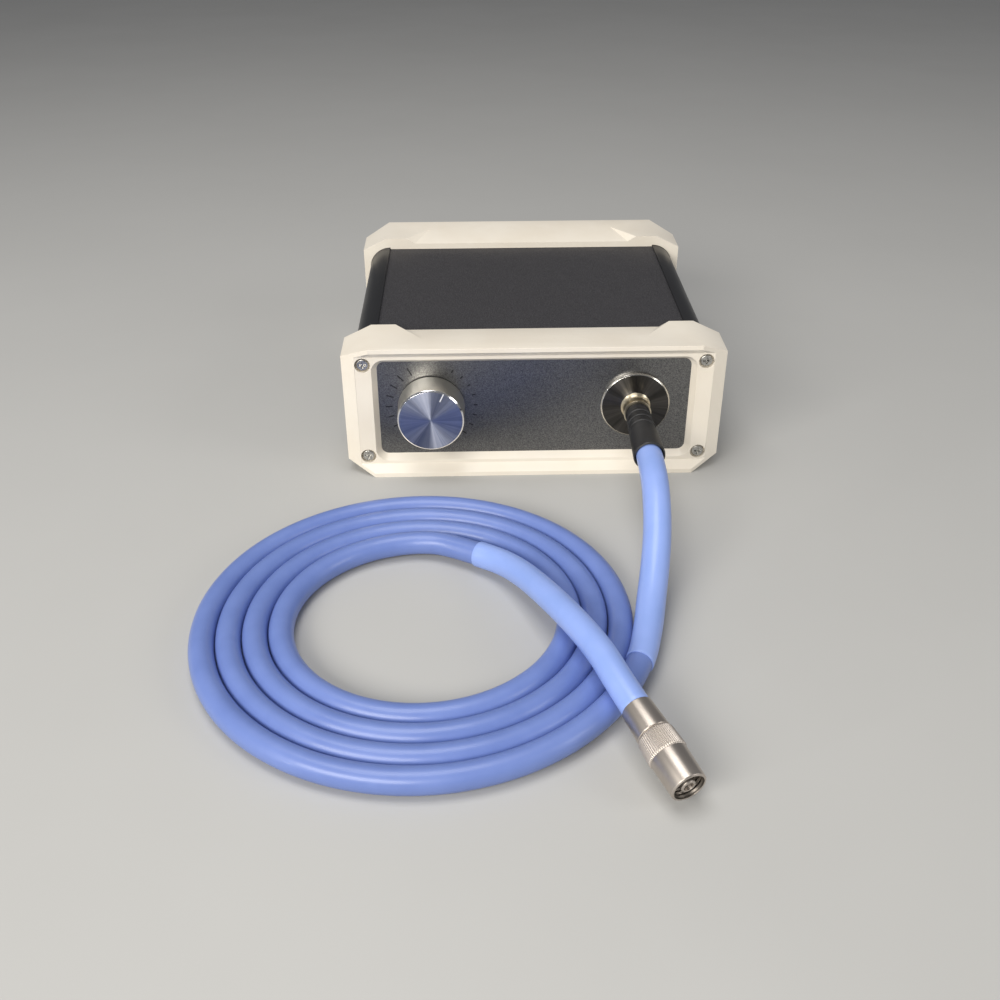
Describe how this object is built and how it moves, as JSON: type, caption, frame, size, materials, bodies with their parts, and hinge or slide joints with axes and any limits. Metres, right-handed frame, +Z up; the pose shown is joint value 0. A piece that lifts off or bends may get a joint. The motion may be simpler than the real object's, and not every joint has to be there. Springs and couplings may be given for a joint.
{
  "type": "fiber optic illuminator",
  "caption": "Table-top light source box with a brightness dial and a coiled fibre light guide that plugs into its front.",
  "frame": {"origin": "on the table, under the middle of the box with its dial, the light guide left out", "axes": "+Z up, -Y out of the front panel with the dial and the socket, +X from the dial to the socket"},
  "size_m": [0.1918, 0.3299, 0.056],
  "materials": {
    "black_cover": "fine-textured black powder coat",
    "black_plastic": "matte black plastic",
    "black_profile": "smooth black anodised extrusion",
    "black_rubber": "matte black rubber",
    "black_tube": "black anodised aluminium",
    "blue_jacket": "satin blue silicone jacket",
    "blue_sleeve": "satin blue shrink sleeve",
    "brass": "plain brass",
    "bright_screw": "bright zinc steel",
    "capacitor_can": "dark blue sleeve on an aluminium can",
    "emitter": "yellow phosphor under a clear dome",
    "ferrite": "dark ferrite and yellow tape",
    "fibre_glass": "polished fibre ends",
    "green_board": "green solder mask",
    "grey_panel": "fine bead-blasted satin aluminium",
    "ivory_plastic": "moulded ivory plastic with a soft satin sheen",
    "lens_glass": "clear polished glass",
    "nickel": "warm satin nickel plate",
    "satin_steel": "satin turned steel",
    "sink_aluminium": "bare extruded aluminium",
    "steel": "plain machined steel",
    "terminal_green": "green terminal block plastic",
    "turned_aluminium": "spun bright aluminium with fine radial turning marks",
    "white_board": "white solder mask on an aluminium core"
  },
  "bodies": {
    "case": {"front_bezel": "ivory_plastic", "rear_bezel": "ivory_plastic", "left_side_profile": "black_profile", "right_side_profile": "black_profile", "top_cover": "black_cover", "bottom_cover": "black_cover", "front_panel": "grey_panel", "rear_panel": "black_cover", "front_bezel_screws": "bright_screw", "rear_bezel_screws": "bright_screw", "dial_potentiometer": "steel", "dial_washer": "steel", "dial_nut": "steel", "socket_flange": "satin_steel", "socket_nut": "steel", "lamp_bracket": "sink_aluminium", "bracket_screws": "bright_screw", "bracket_nuts": "bright_screw", "lens_tube": "black_tube", "lamp_screws": "bright_screw", "rear_lens": "lens_glass", "lens_spacer": "black_tube", "front_lens": "lens_glass", "lens_ring": "black_tube", "led_board": "white_board", "led_emitter": "emitter", "heat_sink": "sink_aluminium", "fan_frame": "black_plastic", "fan_screws": "bright_screw", "fan_nuts": "bright_screw", "power_inlet": "black_plastic", "inlet_pins": "brass", "inlet_screws": "bright_screw", "inlet_nuts": "bright_screw", "power_switch": "black_plastic", "supply_board": "green_board", "board_standoffs": "brass", "board_screws": "bright_screw", "board_nuts": "bright_screw", "board_transformer": "ferrite", "board_capacitors": "capacitor_can", "board_terminals": "terminal_green"},
    "dial": {"dial_knob": "turned_aluminium", "knob_set_screw": "steel", "dial_shaft": "steel"},
    "fan": {"fan_rotor": "black_plastic"},
    "rocker": {"switch_rocker": "black_plastic"},
    "light_guide": {"plug_collar": "nickel", "plug_ferrule": "steel", "lamp_end_fibres": "fibre_glass", "plug_boot": "black_rubber", "lead_sleeve": "blue_sleeve", "light_guide_lead": "blue_jacket", "light_guide_coil": "blue_jacket", "light_guide_tail": "blue_jacket", "tail_sleeve": "blue_sleeve", "tip_collar": "nickel", "tip_post": "nickel", "tip_fibres": "fibre_glass"},
    "coupling": {"coupling_nut": "nickel"}
  },
  "joints": [
    {"name": "dial_turn", "type": "hinge", "parent": "case", "child": "dial", "pos_m": [-0.0406, -0.072, 0.0286], "axis": [0, 1, 0], "range_deg": [-159.7, 110.3]},
    {"name": "fan_spin", "type": "hinge", "parent": "case", "child": "fan", "pos_m": [0.038, 0.065, 0.028], "axis": [0, 1, 0], "continuous": true},
    {"name": "rocker_tilt", "type": "hinge", "parent": "case", "child": "rocker", "pos_m": [0.0045, 0.07185, 0.028], "axis": [1, 0, 0], "range_deg": [-22, 0]},
    {"name": "guide_pull", "type": "slide", "parent": "case", "child": "light_guide", "axis": [0, -1, 0], "range_m": [0, 0.025]},
    {"name": "coupling_turn", "type": "hinge", "parent": "light_guide", "child": "coupling", "pos_m": [0.0283, -0.23999, 0.00966], "axis": [0.3799, -0.9119, -0.1554], "continuous": true}
  ]
}
